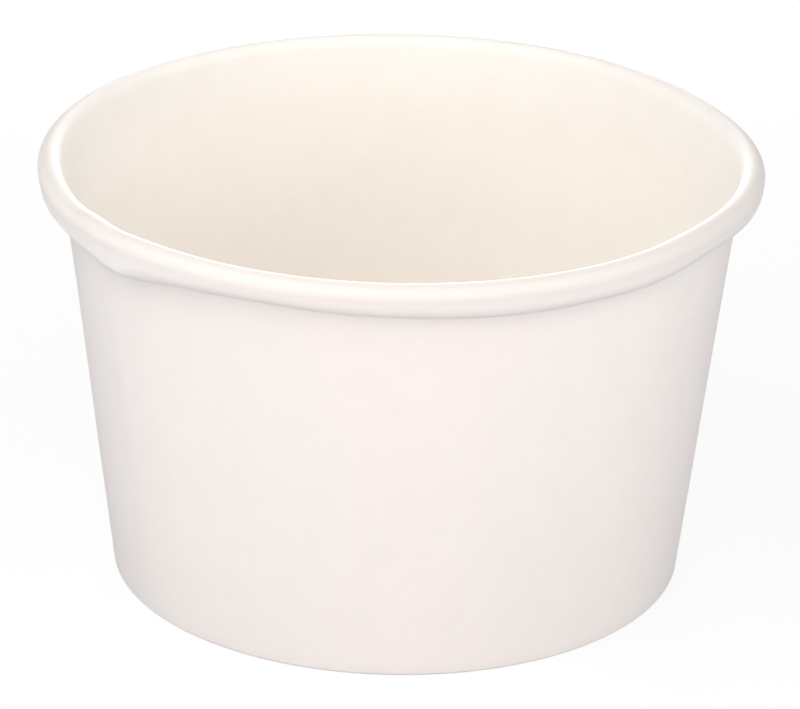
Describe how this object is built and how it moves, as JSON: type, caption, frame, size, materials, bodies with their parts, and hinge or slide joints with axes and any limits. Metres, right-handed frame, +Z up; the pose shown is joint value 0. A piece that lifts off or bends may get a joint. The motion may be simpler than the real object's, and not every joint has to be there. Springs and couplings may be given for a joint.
{
  "type": "paper sundae cup",
  "caption": "Round tapered paperboard cup for a sundae, with a rolled rim, a lapped side seam and a raised floor in a turned-in hem.",
  "frame": {"origin": "on the cup's axis, at the plane that its base rests on", "axes": "+Z up along the cup's axis, out of its mouth; the picture is seen from -Y with +X to the right"},
  "size_m": [0.092, 0.092, 0.0557],
  "materials": {
    "wall_board": "satin film on white board",
    "floor_board": "satin film on white board"
  },
  "bodies": {
    "root": {"side_wall": "wall_board", "bottom_disc": "floor_board"}
  },
  "joints": []
}
